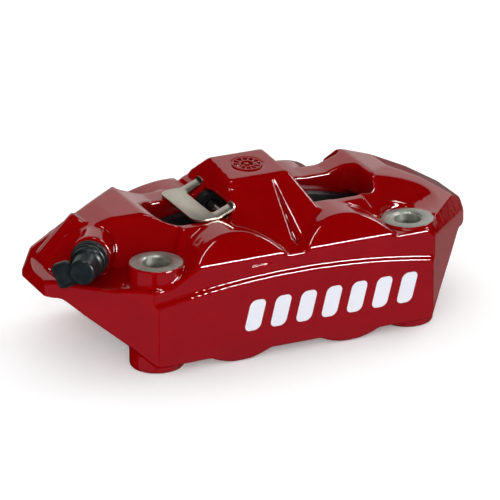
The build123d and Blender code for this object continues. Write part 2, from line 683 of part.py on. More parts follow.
with BuildPart() as bleed_screw:
    for t_from, t_to, radius in (
        (-BLEED_BORE_LENGTH + 0.3, HEX_START, THREAD_R - SCREW_FIT),
        (HEX_START, NIPPLE_END, NIPPLE_R),
        (NIPPLE_END - 3.0, NIPPLE_END - 1.6, BARB_R),
    ):
        with BuildSketch(along(BLEED_RIM, BLEED_DIR, t_from)):
            Circle(radius)
        extrude(amount=t_to - t_from)
    with BuildSketch(along(BLEED_RIM, BLEED_DIR, HEX_START)):
        RegularPolygon(HEX_R, 6)
    extrude(amount=HEX_LENGTH)
    with BuildSketch(along(BLEED_RIM, BLEED_DIR, -5.0)):
        Circle(BLEED_HOLE_R)
    extrude(amount=NIPPLE_END + 6.0, mode=Mode.SUBTRACT)
bleed_screw.part.label = "bleed_screw"
export_step(bleed_screw.part, "parts/bleed_screw.step")

CAP_START = 0.9
CAP_END = 16.2
CAP_STEPS = ((CAP_START, 4.2, 6.8), (4.2, 7.6, 6.2), (7.6, CAP_END, 4.9))
TAB_T = 10.6
TAB_THICKNESS = 2.4
TAB_REACH = 11.6
TAB_WIDTH = 9.0

with BuildPart() as bleed_cap:
    for t_from, t_to, radius in CAP_STEPS:
        with BuildSketch(along(BLEED_RIM, BLEED_DIR, t_from)):
            Circle(radius)
        extrude(amount=t_to - t_from)
    # pull tab beside the nipple, edge on to the axis
    tab_plane = Plane(
        origin=BLEED_RIM + BLEED_DIR * TAB_T, x_dir=(BLEED_DIR.Y, -BLEED_DIR.X, 0), z_dir=BLEED_DIR,
    )
    with BuildSketch(tab_plane):
        with Locations((TAB_REACH / 2, 0)):
            Rectangle(TAB_REACH, TAB_WIDTH)
    extrude(amount=TAB_THICKNESS)
    # inside, shaped to the hexagon and the nipple
    with BuildSketch(along(BLEED_RIM, BLEED_DIR, CAP_START - 1)):
        Circle(HEX_R + 0.3)
    extrude(amount=HEX_START + HEX_LENGTH - CAP_START + 1.4, mode=Mode.SUBTRACT)
    with BuildSketch(along(BLEED_RIM, BLEED_DIR, HEX_START)):
        Circle(BARB_R + 0.3)
    extrude(amount=NIPPLE_END - HEX_START + 0.5, mode=Mode.SUBTRACT)
bleed_cap.part.label = "bleed_cap"
export_step(bleed_cap.part, "parts/bleed_cap.step")


# ---------------------------------------------------------------- gallery plugs
PLUG_SLACK = 0.02
with BuildPart() as gallery_plugs:
    for start, direction in (
        ((0, CHAMBER_Y, BELLY_Z + 0.2), (0, 0, 1)),
        ((0, INBOARD_CHAMBER_Y - 1, BELLY_Z + 0.2), (0, 0, 1)),
        ((0, REAR_PLUG_Y - PLUG_LENGTH + 0.2, CROSSOVER_Z), (0, 1, 0)),
    ):
        with BuildSketch(Plane(origin=start, z_dir=direction)):
            Circle(PLUG_R - PLUG_SLACK)
        extrude(amount=PLUG_LENGTH - 0.4)
gallery_plugs.part.label = "gallery_plugs"
export_step(gallery_plugs.part, "parts/gallery_plugs.step")
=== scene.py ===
import bmesh
import bpy
import json
import math
import numpy as np
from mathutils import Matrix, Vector


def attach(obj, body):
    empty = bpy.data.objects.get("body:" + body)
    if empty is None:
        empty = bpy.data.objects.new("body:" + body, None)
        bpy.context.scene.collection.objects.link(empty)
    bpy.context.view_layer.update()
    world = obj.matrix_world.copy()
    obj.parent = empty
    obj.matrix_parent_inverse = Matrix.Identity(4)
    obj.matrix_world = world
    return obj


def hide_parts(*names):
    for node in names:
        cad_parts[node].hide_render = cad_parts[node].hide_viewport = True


# Looks of the brake caliper: the painted casting, its machined faces, a graphic and an emblem,
# the cap on the bleed screw, the pad spring and the inlet's thread, then the stage and the camera.
# Sizes are millimetres in the part's own frame: X along the caliper, Y from the outboard side,
# which is the front, to the inboard side, and Z up from the boss feet. MM turns them into
# Blender's metres. The stage, the lights and the camera are in metres.

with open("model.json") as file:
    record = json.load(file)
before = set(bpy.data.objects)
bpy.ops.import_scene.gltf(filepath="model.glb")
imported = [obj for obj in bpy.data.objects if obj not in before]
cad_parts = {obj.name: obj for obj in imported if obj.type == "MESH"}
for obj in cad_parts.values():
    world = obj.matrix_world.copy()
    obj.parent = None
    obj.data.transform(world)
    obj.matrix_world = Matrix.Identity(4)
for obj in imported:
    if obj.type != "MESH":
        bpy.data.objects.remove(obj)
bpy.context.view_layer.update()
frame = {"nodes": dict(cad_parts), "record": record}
NODES = frame["nodes"]
MM = 0.001


def mount(name):
    """The record's mount of that name."""
    return next(entry for entry in frame["record"]["mounts"] if entry["name"] == name)


# ------------------------------------------------------------------ places shared by several pieces
BOLT_X = mount("mount_bolts")["dims"]["spacing_x_mm"] / 2
BOSS_TOP = 39.3
BOSS_R = 10.0
PANEL_Y = -12.5                  # the panel is the flat front face
BLEED_RIM = (-68.0, 17.0, 38.0)  # middle of the bleed port's rim
BLEED_DIR = (-0.57, -0.82, 0.0)  # the way that the bleed screw points
FLANK_FOOT = (PANEL_Y, 36.4)    # the bridge's front flank, from its foot to its top, in y and z
FLANK_TOP = (20.5, 56.8)
PLATEAU_BACK = (41.5, 58.4)     # the bridge's upper face runs from the flank's top to here


# ------------------------------------------------------------------ node helpers
def new_material(name):
    mat = bpy.data.materials.new(name)
    mat.use_nodes = True
    tree = mat.node_tree
    tree.nodes.clear()
    out = tree.nodes.new("ShaderNodeOutputMaterial")
    bsdf = tree.nodes.new("ShaderNodeBsdfPrincipled")
    tree.links.new(bsdf.outputs["BSDF"], out.inputs["Surface"])
    return mat, tree, bsdf


def object_coords(tree, scale=(1, 1, 1)):
    coords = tree.nodes.new("ShaderNodeTexCoord")
    mapping = tree.nodes.new("ShaderNodeMapping")
    mapping.inputs["Scale"].default_value = scale
    tree.links.new(coords.outputs["Object"], mapping.inputs["Vector"])
    return mapping.outputs["Vector"]


def noise(tree, coords, grain_mm, detail=3.0, rough=0.5):
    node = tree.nodes.new("ShaderNodeTexNoise")
    node.inputs["Scale"].default_value = 1.0 / (grain_mm * MM)
    node.inputs["Detail"].default_value = detail
    node.inputs["Roughness"].default_value = rough
    tree.links.new(coords, node.inputs["Vector"])
    return node.outputs["Fac"]


def math_node(tree, operation, value, second=None):
    node = tree.nodes.new("ShaderNodeMath")
    node.operation = operation
    tree.links.new(value, node.inputs[0])
    if second is not None:
        node.inputs[1].default_value = second
    return node.outputs[0]


def two_tones(tree, value, dark, light):
    """Colour that goes from dark to light over the middle of a noise's range."""
    node = tree.nodes.new("ShaderNodeValToRGB")
    low, high = node.color_ramp.elements
    low.position, high.position = 0.3, 0.7
    low.color, high.color = (*dark, 1.0), (*light, 1.0)
    tree.links.new(value, node.inputs["Fac"])
    return node.outputs["Color"]


def spread(tree, value, low, high):
    """Number that goes from low to high over the middle of a noise's range."""
    node = tree.nodes.new("ShaderNodeMapRange")
    node.inputs["From Min"].default_value = 0.3
    node.inputs["From Max"].default_value = 0.7
    node.inputs["To Min"].default_value = low
    node.inputs["To Max"].default_value = high
    tree.links.new(value, node.inputs["Value"])
    return node.outputs["Result"]


def bump(tree, height, depth_mm, normal=None):
    node = tree.nodes.new("ShaderNodeBump")
    node.inputs["Strength"].default_value = 1.0
    node.inputs["Distance"].default_value = depth_mm * MM
    tree.links.new(height, node.inputs["Height"])
    if normal is not None:
        tree.links.new(normal, node.inputs["Normal"])
    return node.outputs["Normal"]


def gloss_paint(name, dark, light):
    """Colour coat under lacquer, with orange peel and a little cast texture."""
    mat, tree, bsdf = new_material(name)
    coords = object_coords(tree)
    broad = noise(tree, coords, grain_mm=18.0, detail=2.0)
    tree.links.new(two_tones(tree, broad, dark, light), bsdf.inputs["Base Color"])
    fine = noise(tree, coords, grain_mm=1.1, detail=2.0)
    tree.links.new(spread(tree, fine, 0.42, 0.55), bsdf.inputs["Roughness"])
    bsdf.inputs["Specular IOR Level"].default_value = 0.0
    bsdf.inputs["Coat Weight"].default_value = 1.0
    bsdf.inputs["Coat Roughness"].default_value = 0.045
    bsdf.inputs["Coat IOR"].default_value = 1.5
    peel = bump(tree, noise(tree, coords, grain_mm=2.6, detail=1.0), depth_mm=0.02)
    grain = bump(tree, fine, depth_mm=0.006, normal=peel)
    tree.links.new(peel, bsdf.inputs["Coat Normal"])
    tree.links.new(grain, bsdf.inputs["Normal"])
    return mat


def metal(name, dark, light, rough, grain_mm, depth_mm, stretch=(1, 1, 1)):
    mat, tree, bsdf = new_material(name)
    coords = object_coords(tree, stretch)
    broad = noise(tree, coords, grain_mm=6.0)
    fine = noise(tree, coords, grain_mm, detail=4.0, rough=0.6)
    tree.links.new(two_tones(tree, broad, dark, light), bsdf.inputs["Base Color"])
    tree.links.new(spread(tree, fine, *rough), bsdf.inputs["Roughness"])
    bsdf.inputs["Metallic"].default_value = 1.0
    tree.links.new(bump(tree, fine, depth_mm), bsdf.inputs["Normal"])
    return mat


def turned_metal(name, dark, light, rough, centre_x, pitch_mm, depth_mm):
    """Machined face with tool marks in rings round both bolt axes, at centre_x either side."""
    mat, tree, bsdf = new_material(name)
    coords = object_coords(tree)
    separate = tree.nodes.new("ShaderNodeSeparateXYZ")
    tree.links.new(coords, separate.inputs["Vector"])
    from_middle = math_node(tree, "ABSOLUTE", separate.outputs["X"])
    from_axis = tree.nodes.new("ShaderNodeCombineXYZ")
    tree.links.new(math_node(tree, "SUBTRACT", from_middle, centre_x * MM), from_axis.inputs["X"])
    tree.links.new(separate.outputs["Y"], from_axis.inputs["Y"])
    radius = tree.nodes.new("ShaderNodeVectorMath")
    radius.operation = "LENGTH"
    tree.links.new(from_axis.outputs["Vector"], radius.inputs[0])
    turns = math_node(tree, "MULTIPLY", radius.outputs["Value"], 2 * math.pi / (pitch_mm * MM))
    rings = bump(tree, math_node(tree, "SINE", turns), depth_mm)
    fine = noise(tree, coords, grain_mm=0.5)
    broad = noise(tree, coords, grain_mm=3.0, detail=2.0)
    tree.links.new(two_tones(tree, broad, dark, light), bsdf.inputs["Base Color"])
    tree.links.new(spread(tree, fine, *rough), bsdf.inputs["Roughness"])
    bsdf.inputs["Metallic"].default_value = 0.85
    tree.links.new(bump(tree, fine, depth_mm=0.01, normal=rings), bsdf.inputs["Normal"])
    return mat


def matt(name, dark, light, rough, grain_mm, depth_mm, specular=0.5):
    mat, tree, bsdf = new_material(name)
    coords = object_coords(tree)
    broad = noise(tree, coords, grain_mm * 6)
    fine = noise(tree, coords, grain_mm, detail=4.0, rough=0.6)
    tree.links.new(two_tones(tree, broad, dark, light), bsdf.inputs["Base Color"])
    tree.links.new(spread(tree, fine, *rough), bsdf.inputs["Roughness"])
    bsdf.inputs["Specular IOR Level"].default_value = specular
    tree.links.new(bump(tree, fine, depth_mm), bsdf.inputs["Normal"])
    return mat


PAINT = gloss_paint("body_paint", dark=(0.215, 0.0003, 0.0008), light=(0.24, 0.0005, 0.0012))
GRAPHIC = gloss_paint("graphic_white", dark=(0.66, 0.67, 0.73), light=(0.7, 0.71, 0.77))
MACHINED = turned_metal(
    "machined_face", dark=(0.34, 0.35, 0.31), light=(0.46, 0.47, 0.42), rough=(0.3, 0.45),
    centre_x=BOLT_X, pitch_mm=0.35, depth_mm=0.012,
)
PISTON = metal(
    "piston", dark=(0.5, 0.5, 0.48), light=(0.6, 0.6, 0.57), rough=(0.25, 0.4),
    grain_mm=0.8, depth_mm=0.01, stretch=(1, 4, 1),
)
RUBBER = matt(
    "seal_rubber", dark=(0.012, 0.012, 0.012), light=(0.022, 0.022, 0.022), rough=(0.5, 0.7),
    grain_mm=0.5, depth_mm=0.02,
)
BACKING = matt(
    "backing_steel", dark=(0.006, 0.006, 0.007), light=(0.014, 0.014, 0.015), rough=(0.4, 0.55),
    grain_mm=0.6, depth_mm=0.03, specular=0.25,
)
FRICTION = matt(
    "friction_material", dark=(0.03, 0.028, 0.026), light=(0.11, 0.1, 0.09), rough=(0.75, 0.95),
    grain_mm=0.7, depth_mm=0.12,
)
PIN = metal(
    "pin_steel", dark=(0.5, 0.49, 0.46), light=(0.62, 0.6, 0.57), rough=(0.22, 0.34),
    grain_mm=0.4, depth_mm=0.006, stretch=(1, 0.2, 1),
)
CLIP = metal(
    "clip_steel", dark=(0.28, 0.28, 0.28), light=(0.4, 0.4, 0.4), rough=(0.3, 0.45),
    grain_mm=0.3, depth_mm=0.006,
)
SPRING = metal(
    "spring_steel", dark=(0.5, 0.45, 0.37), light=(0.62, 0.57, 0.48), rough=(0.3, 0.42),
    grain_mm=0.7, depth_mm=0.01, stretch=(1, 0.25, 1),
)
SCREW = metal(
    "screw_steel", dark=(0.45, 0.43, 0.36), light=(0.56, 0.54, 0.46), rough=(0.28, 0.4),
    grain_mm=0.4, depth_mm=0.008,
)
PLUG = metal(
    "plug_steel", dark=(0.35, 0.35, 0.35), light=(0.5, 0.5, 0.5), rough=(0.3, 0.45),
    grain_mm=0.4, depth_mm=0.01,
)
CAP = matt(
    "cap_rubber", dark=(0.005, 0.008, 0.009), light=(0.01, 0.015, 0.017), rough=(0.28, 0.42),
    grain_mm=0.6, depth_mm=0.015, specular=0.3,
)


# ------------------------------------------------------------------ mesh helpers
def outward(mesh):
    """Turns every face of a closed mesh outward."""
    bm = bmesh.new()
    bm.from_mesh(mesh)
    bmesh.ops.recalc_face_normals(bm, faces=bm.faces[:])
    bm.to_mesh(mesh)
    bm.free()


def add_object(name, mesh):
    obj = bpy.data.objects.new(name, mesh)
    bpy.context.scene.collection.objects.link(obj)
    return obj


def soften(obj, width_mm, segments=2, angle_deg=32.0):
    """Rounds the edges that turn by more than the angle."""
    mod = obj.modifiers.new("rounded_edges", "BEVEL")
    mod.width = width_mm * MM
    mod.segments = segments
    mod.limit_method = "ANGLE"
    mod.angle_limit = math.radians(angle_deg)
    mod.harden_normals = False
    mod.use_clamp_overlap = True


def make_piece(name, shape, body, mat, sharp_deg=32.0, bevel_mm=0.0, segments=2):
    """A piece from the vertices (mm) and faces of a closed shape."""
    verts, faces = shape
    mesh = bpy.data.meshes.new(name)
    mesh.from_pydata([Vector(v) * MM for v in verts], [], faces)
    mesh.validate()
    outward(mesh)
    mesh.materials.append(mat)
    mesh.shade_smooth()
    mesh.set_sharp_from_angle(angle=math.radians(sharp_deg))
    obj = add_object(name, mesh)
    if bevel_mm:
        soften(obj, bevel_mm, segments)
    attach(obj, body)
    return obj


def axis_frame(axis):
    """Two directions across an axis, and the axis itself, all of unit length."""
    axis = Vector(axis).normalized()
    side = axis.cross(Vector((0, 0, 1)))
    if side.length < 1e-3:
        side = Vector((1, 0, 0))
    side.normalize()
    return side, axis.cross(side).normalized(), axis


def lathe(profile, origin, axis, steps=96):
    """A closed shape turned about an axis, from (radius, distance along the axis) points."""
    side, up, along = axis_frame(axis)
    origin = Vector(origin)
    verts, rings = [], []
    for radius, distance in profile:
        if radius == 0.0:
            rings.append([len(verts)])
            verts.append(origin + along * distance)
            continue
        ring = []
        for k in range(steps):
            a = 2 * math.pi * k / steps
            ring.append(len(verts))
            verts.append(origin + along * distance + (side * math.cos(a) + up * math.sin(a)) * radius)
        rings.append(ring)
    faces = []
    count = len(rings)
    on_axis = len(rings[0]) == 1 and len(rings[-1]) == 1
    for i in range(count - 1 if on_axis else count):
        a, b = rings[i], rings[(i + 1) % count]
        for k in range(steps):
            n = (k + 1) % steps
            if len(a) == 1:
                faces.append((a[0], b[n], b[k]))
            elif len(b) == 1:
                faces.append((a[k], a[n], b[0]))
            else:
                faces.append((a[k], a[n], b[n], b[k]))
    return verts, faces


def prism(outline, plane_point, u_dir, v_dir, thickness):
    """A flat outline given thickness along the cross product of its two directions."""
    p, u, v = Vector(plane_point), Vector(u_dir), Vector(v_dir)
    w = u.cross(v).normalized() * thickness
    low = [p + u * a + v * b for a, b in outline]
    verts = low + [q + w for q in low]
    n = len(outline)
    faces = [tuple(reversed(range(n))), tuple(range(n, 2 * n))]
    faces += [(i, (i + 1) % n, n + (i + 1) % n, n + i) for i in range(n)]
    return verts, faces


def rounded_bar(centre_x, centre_z, width, height, slant_deg, corner, arc_steps=8):
    """Outline of a slanted bar with rounded corners."""
    lean = math.tan(math.radians(slant_deg))
    outline = []
    for cx, cz, start in ((1, 1, 0), (-1, 1, 90), (-1, -1, 180), (1, -1, 270)):
        for k in range(arc_steps + 1):
            a = math.radians(start + 90 * k / arc_steps)
            x = cx * (width / 2 - corner) + corner * math.cos(a)
            z = cz * (height / 2 - corner) + corner * math.sin(a)
            outline.append((centre_x + x + lean * z, centre_z + z))
    return outline


# ------------------------------------------------------------------ the casting
# Step above the panel: an arc, highest in the middle and lower at the corners.
STEP_MID_Z = 31.9
STEP_END_Z = 27.0
CORNER_X = 54.4
STEP_R = (CORNER_X ** 2 + (STEP_MID_Z - STEP_END_Z) ** 2) / (2 * (STEP_MID_Z - STEP_END_Z))

# Groove and crease on the bridge's front flank, as (x, y) points down the flank.
GROOVE_TOP = (4.5, 18.6)
GROOVE_LOW = (3.2, -5.0)
GROOVE_END = (2.3, -7.5)
GROOVE_START_HALF_WIDTH = 0.1
GROOVE_HALF_WIDTH = 1.9
GROOVE_DEPTH = 2.4
CREASE_TOP = (-2.9, 19.8)
CREASE_LOW = (-6.8, -5.9)
CREASE_SLOPE = 0.09
CREASE_WIDTH = 8.0
FLANK_HALF_X = 18.0
CARVE_REACH = 1.0       # farthest that a carved point lies from the flank's plane
CARVE_FADE = 3.0        # the carving fades out over this much y in front of the flank's top

# Even mesh, and the smoothing that rounds its edges. A weight of 0 keeps a point where it is.
WELD_DISTANCE = 0.001
VOXEL = 0.36
SMOOTHING_STEPS = 22
BASE_WEIGHT = 0.5
STEP_WEIGHT = 0.3
STEP_BAND = 2.2
STEP_BAND_DEPTH = 2.5
BOSS_WEIGHT = 0.12
BOSS_EDGE_DEPTH = 2.0
BOSS_EDGE_R = BOSS_R + 0.2
BOSS_KEPT_R = BOSS_R - 1.0
PORT_KEPT_R = 5.6
PORT_KEPT_FROM = -0.3
PORT_KEPT_TO = -10.0


def remeshed(node):
    """A CAD node's form as an even closed mesh, in metres."""
    obj = add_object("even_mesh", NODES[node].data.copy())
    weld = obj.modifiers.new("weld", "WELD")
    weld.merge_threshold = WELD_DISTANCE * MM
    mod = obj.modifiers.new("remesh", "REMESH")
    mod.mode = "VOXEL"
    mod.voxel_size = VOXEL * MM
    mod.adaptivity = 0.0
    graph = bpy.context.evaluated_depsgraph_get()
    even = bpy.data.meshes.new_from_object(obj.evaluated_get(graph))
    bpy.data.objects.remove(obj)
    return even


def smoothed(points, edges, weight, steps):
    """Laplacian smoothing: each step moves a point by its weight towards its neighbours' mean."""
    a, b = edges[:, 0], edges[:, 1]
    n = len(points)
    neighbours = np.bincount(edges.ravel(), minlength=n).astype(float)[:, None]
    for _ in range(steps):
        mean = np.empty_like(points)
        for k in range(3):
            mean[:, k] = np.bincount(a, points[b, k], n) + np.bincount(b, points[a, k], n)
        mean /= neighbours
        points = points + (mean - points) * weight[:, None]
    return points


def edge_weight(p):
    """Smoothing weight: low at the panel's step and the bosses' rims, none at the bolts and the bleed port."""
    x, y, z = p.T
    weight = np.full(len(p), BASE_WEIGHT)
    from_step = np.abs(np.hypot(x, z - (STEP_MID_Z - STEP_R)) - STEP_R)
    at_front = (y < PANEL_Y + STEP_BAND_DEPTH) & (np.abs(x) < CORNER_X + 1)
    weight[at_front & (from_step < STEP_BAND)] = STEP_WEIGHT
    from_bolt = np.hypot(np.abs(x) - BOLT_X, y)
    weight[(from_bolt < BOSS_EDGE_R) & (z > BOSS_TOP - BOSS_EDGE_DEPTH)] = BOSS_WEIGHT
    weight[from_bolt < BOSS_KEPT_R] = 0.0
    axis = np.array(BLEED_DIR) / np.linalg.norm(BLEED_DIR)
    offset = p - np.array(BLEED_RIM)
    along = offset @ axis
    from_port = np.linalg.norm(offset - np.outer(along, axis), axis=1)
    weight[(from_port < PORT_KEPT_R) & (along < PORT_KEPT_FROM) & (along > PORT_KEPT_TO)] = 0.0
    return weight


def groove_depth(x, y):
    """Depth of the V-shaped groove down the bridge's front flank, and of the slope beside its crease."""
    down = np.clip((GROOVE_TOP[1] - y) / (GROOVE_TOP[1] - GROOVE_LOW[1]), 0.0, 1.0)
    end = np.clip((GROOVE_LOW[1] - y) / (GROOVE_LOW[1] - GROOVE_END[1]), 0.0, 1.0)
    centre = GROOVE_TOP[0] + (GROOVE_LOW[0] - GROOVE_TOP[0]) * down + (GROOVE_END[0] - GROOVE_LOW[0]) * end
    half = np.maximum((GROOVE_START_HALF_WIDTH + GROOVE_HALF_WIDTH * down) * (1.0 - end), 1e-3)
    vee = np.clip(1.0 - np.abs(x - centre) / half, 0.0, 1.0)
    depth = GROOVE_DEPTH * np.sqrt(down) * (1.0 - end) * vee
    depth[(y > GROOVE_TOP[1]) | (y < GROOVE_END[1])] = 0.0
    crease_run = (CREASE_LOW[0] - CREASE_TOP[0]) * (CREASE_TOP[1] - y) / (CREASE_TOP[1] - CREASE_LOW[1])
    crease = CREASE_TOP[0] + crease_run
    return depth + CREASE_SLOPE * np.clip(crease - x, 0.0, CREASE_WIDTH)


def carved(p):
    """The casting's points with the groove and the crease sunk into the bridge's front flank."""
    x, y, z = p.T
    rise = (FLANK_TOP[1] - FLANK_FOOT[1]) / (FLANK_TOP[0] - FLANK_FOOT[0])
    normal = np.array([0.0, -rise, 1.0]) / math.hypot(1.0, rise)
    above = (z - FLANK_FOOT[1] - (y - FLANK_FOOT[0]) * rise) / math.hypot(1.0, rise)
    near = np.clip(1.0 - np.abs(above) / CARVE_REACH, 0.0, 1.0)
    on_flank = near * (np.abs(x) < FLANK_HALF_X) * (y < FLANK_TOP[0] + 1)
    fade = np.clip((FLANK_TOP[0] - y) / CARVE_FADE, 0.0, 1.0)
    return p - normal * (groove_depth(x, y) * np.minimum(on_flank * 2.0, 1.0) * fade)[:, None]


def build_casting():
    even = remeshed("caliper_body")
    points = np.zeros(len(even.vertices) * 3)
    even.vertices.foreach_get("co", points)
    points = points.reshape(-1, 3) / MM
    edges = np.zeros(len(even.edges) * 2, np.int64)
    even.edges.foreach_get("vertices", edges)
    edges = edges.reshape(-1, 2)
    points = smoothed(points, edges, edge_weight(points), SMOOTHING_STEPS)
    points = smoothed(carved(points), edges, edge_weight(points), 1)
    even.vertices.foreach_set("co", (points * MM).ravel())
    even.update()
    even.materials.clear()
    even.materials.append(PAINT)
    even.shade_smooth()
    casting = add_object("casting", even)
    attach(casting, "caliper")
    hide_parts("caliper_body")


build_casting()


# ------------------------------------------------------------------ machined faces of the bosses
SPOT_R = 9.5
SPOT_PROUD = 0.14
MOUTH_R = 5.95
LINER_R = 4.95
LINER_BACK_R = 5.6
FOOT_R = 9.4
FOOT_BORE_R = 5.45
FOOT_THICKNESS = 0.4
BOSS_STEPS = 128

spot_face_profile = [
    # the spot face, with a narrow chamfer at its rim
    (SPOT_R, BOSS_TOP - 0.6), (SPOT_R, BOSS_TOP + 0.05), (SPOT_R - 0.3, BOSS_TOP + SPOT_PROUD),
    # the chamfered mouth and the wall of the bore
    (MOUTH_R, BOSS_TOP + SPOT_PROUD), (5.8, BOSS_TOP + 0.05), (5.0, BOSS_TOP - 0.4),
    (LINER_R, BOSS_TOP - 0.7), (LINER_R, 0.5), (LINER_R, 0.02),
    # the back, inside the casting
    (LINER_BACK_R, 0.02), (LINER_BACK_R, BOSS_TOP - 2.2), (6.6, BOSS_TOP - 0.8),
]
boss_foot_profile = [
    (FOOT_BORE_R, FOOT_THICKNESS), (FOOT_R, FOOT_THICKNESS),
    (FOOT_R, 0.0), (FOOT_R - 0.2, 0.0), (FOOT_BORE_R, 0.0),
]
for side_name, sign in (("left", -1), ("right", 1)):
    bolt_foot = (sign * BOLT_X, 0, 0)
    face = lathe(spot_face_profile, bolt_foot, (0, 0, 1), BOSS_STEPS)
    make_piece(f"spot_face_{side_name}", face, "caliper", MACHINED)
    foot = lathe(boss_foot_profile, bolt_foot, (0, 0, 1), BOSS_STEPS)
    make_piece(f"boss_foot_{side_name}", foot, "caliper", MACHINED)


# ------------------------------------------------------------------ generic white graphic on the panel
BARS = 7
BAR_FROM_X = -20.0
BAR_TO_X = 47.0
BAR_MID_Z = 17.6
BAR_WIDTH = 6.2
BAR_HEIGHT = 11.5
BAR_SLANT = 14.0
BAR_CORNER = 2.2
BAR_SUNK = 0.2
BAR_THICKNESS = 0.23

for i in range(BARS):
    bar_x = BAR_FROM_X + BAR_WIDTH / 2 + (BAR_TO_X - BAR_FROM_X - BAR_WIDTH) * i / (BARS - 1)
    outline = rounded_bar(bar_x, BAR_MID_Z, BAR_WIDTH, BAR_HEIGHT, BAR_SLANT, BAR_CORNER)
    bar = prism(outline, (0, PANEL_Y + BAR_SUNK, 0), (1, 0, 0), (0, 0, 1), BAR_THICKNESS)
    make_piece(f"panel_graphic_{i + 1}", bar, "caliper", GRAPHIC)


# ------------------------------------------------------------------ emblem of plain rings and ribs
PLATEAU_RISE = (PLATEAU_BACK[1] - FLANK_TOP[1]) / (PLATEAU_BACK[0] - FLANK_TOP[0])
EMBLEM_Y = 31.0
EMBLEM_AT = (0, EMBLEM_Y, FLANK_TOP[1] + (EMBLEM_Y - FLANK_TOP[0]) * PLATEAU_RISE)
EMBLEM_AXIS = (0, -PLATEAU_RISE, 1)
EMBLEM_PROUD = 0.3
EMBLEM_SUNK = 0.7
EMBLEM_CHAMFER = 0.2
EMBLEM_RINGS = (("outer_ring", 4.9, 5.7), ("inner_ring", 2.2, 3.0), ("centre", 0.0, 0.9))    # radii
RIBS = 12
RIB_OUTLINE = [(2.8, -0.3), (5.1, -0.45), (5.1, 0.45), (2.8, 0.3)]
RIB_THICKNESS = 0.85


def emblem_profile(inner, outer):
    """Section of a chamfered ring, or of a disc where the inner radius is 0."""
    shoulder = EMBLEM_PROUD - EMBLEM_CHAMFER
    outside = [(outer, -EMBLEM_SUNK), (outer, shoulder), (outer - EMBLEM_CHAMFER, EMBLEM_PROUD)]
    if inner == 0.0:
        return [(0.0, EMBLEM_PROUD), *reversed(outside), (0.0, -EMBLEM_SUNK)]
    return [*outside, (inner + EMBLEM_CHAMFER, EMBLEM_PROUD), (inner, shoulder), (inner, -EMBLEM_SUNK)]


def emblem_ribs():
    """Ribs like spokes between the two rings."""
    side, up, axis = axis_frame(EMBLEM_AXIS)
    start = Vector(EMBLEM_AT) - axis * EMBLEM_SUNK
    all_verts, all_faces = [], []
    for i in range(RIBS):
        a = 2 * math.pi * i / RIBS
        out = side * math.cos(a) + up * math.sin(a)
        verts, faces = prism(RIB_OUTLINE, start, out, axis.cross(out), RIB_THICKNESS)
        all_faces += [tuple(k + len(all_verts) for k in face) for face in faces]
        all_verts += verts
    return all_verts, all_faces


for name, inner, outer in EMBLEM_RINGS:
    ring = lathe(emblem_profile(inner, outer), EMBLEM_AT, EMBLEM_AXIS)
    make_piece(f"emblem_{name}", ring, "caliper", PAINT)
make_piece("emblem_ribs", emblem_ribs(), "caliper", PAINT, bevel_mm=0.12)


# ------------------------------------------------------------------ rubber cap on the bleed screw
CAP_STEPS = 112
TAB_ALONG = 10.4        # place of the tab's root along the screw's axis
TAB_LEAN = math.radians(22.0)
TAB_MID = (7.5, 0.3)    # middle of the tab, outward and upward from the screw's axis
TAB_SIZE = (7.0, 9.4)
TAB_CORNER = 1.9
TAB_THICKNESS = 1.9
RIM_HOLE_SIZE = (5.2, 7.6)
RIM_HOLE_CORNER = 1.2
RIM_FROM = 1.8
RIM_TO = 2.35

cap_profile = [
    # the outer end, with a shallow dish inside its rounded rim
    (0.0, 15.75), (2.9, 15.75), (3.15, 15.95), (3.5, 16.1), (4.1, 15.95), (4.6, 15.4), (4.8, 14.6),
    # the barrel and its flared shoulder
    (4.85, 8.3), (5.0, 7.9), (5.6, 7.6), (5.9, 7.1), (6.0, 5.3),
    # three rounded rings
    (6.3, 5.1), (6.5, 4.7), (6.5, 4.2), (6.3, 3.9), (6.05, 3.75),
    (6.1, 3.5), (6.6, 3.4), (6.75, 3.1), (6.75, 2.7), (6.6, 2.45), (6.25, 2.3),
    (6.25, 2.05), (6.6, 1.95), (6.8, 1.7), (6.8, 1.2), (6.6, 0.95),
    # the space inside for the screw's hexagon and its barb
    (5.6, 0.9), (5.6, 6.2), (3.75, 6.4), (3.75, 13.4), (0.0, 13.4),
]
cap_shell = lathe(cap_profile, BLEED_RIM, BLEED_DIR, CAP_STEPS)
make_piece("bleed_cap_shell", cap_shell, "bleed_cap", CAP, sharp_deg=50.0)

cap_axis = Vector(BLEED_DIR).normalized()
across = Vector((cap_axis.y, -cap_axis.x, 0))
tab_up = Vector((0, 0, 1)) * math.cos(TAB_LEAN) + across * math.sin(TAB_LEAN)
tab_out = across * math.cos(TAB_LEAN) - Vector((0, 0, 1)) * math.sin(TAB_LEAN)
tab_root = Vector(BLEED_RIM) + cap_axis * TAB_ALONG
tab_edge = rounded_bar(*TAB_MID, *TAB_SIZE, 0.0, TAB_CORNER)
tab_shape = prism(tab_edge, tab_root, tab_out, tab_up, -TAB_THICKNESS)
tab = make_piece(
    "bleed_cap_tab", tab_shape, "bleed_cap", CAP, sharp_deg=50.0, bevel_mm=0.5, segments=3,
)


def tab_rim():
    """A raised rim round the tab's outer face."""
    hole_edge = rounded_bar(*TAB_MID, *RIM_HOLE_SIZE, 0.0, RIM_HOLE_CORNER)
    verts, faces = [], []
    for edge in (tab_edge, hole_edge):
        for lift in (RIM_FROM, RIM_TO):
            verts += [tab_root + tab_out * a + tab_up * b + cap_axis * lift for a, b in edge]
    count = len(tab_edge)
    for k in range(count):
        n = (k + 1) % count
        for low, high in ((0, 1), (1, 3), (3, 2), (2, 0)):
            faces.append((low * count + k, low * count + n, high * count + n, high * count + k))
    return verts, faces


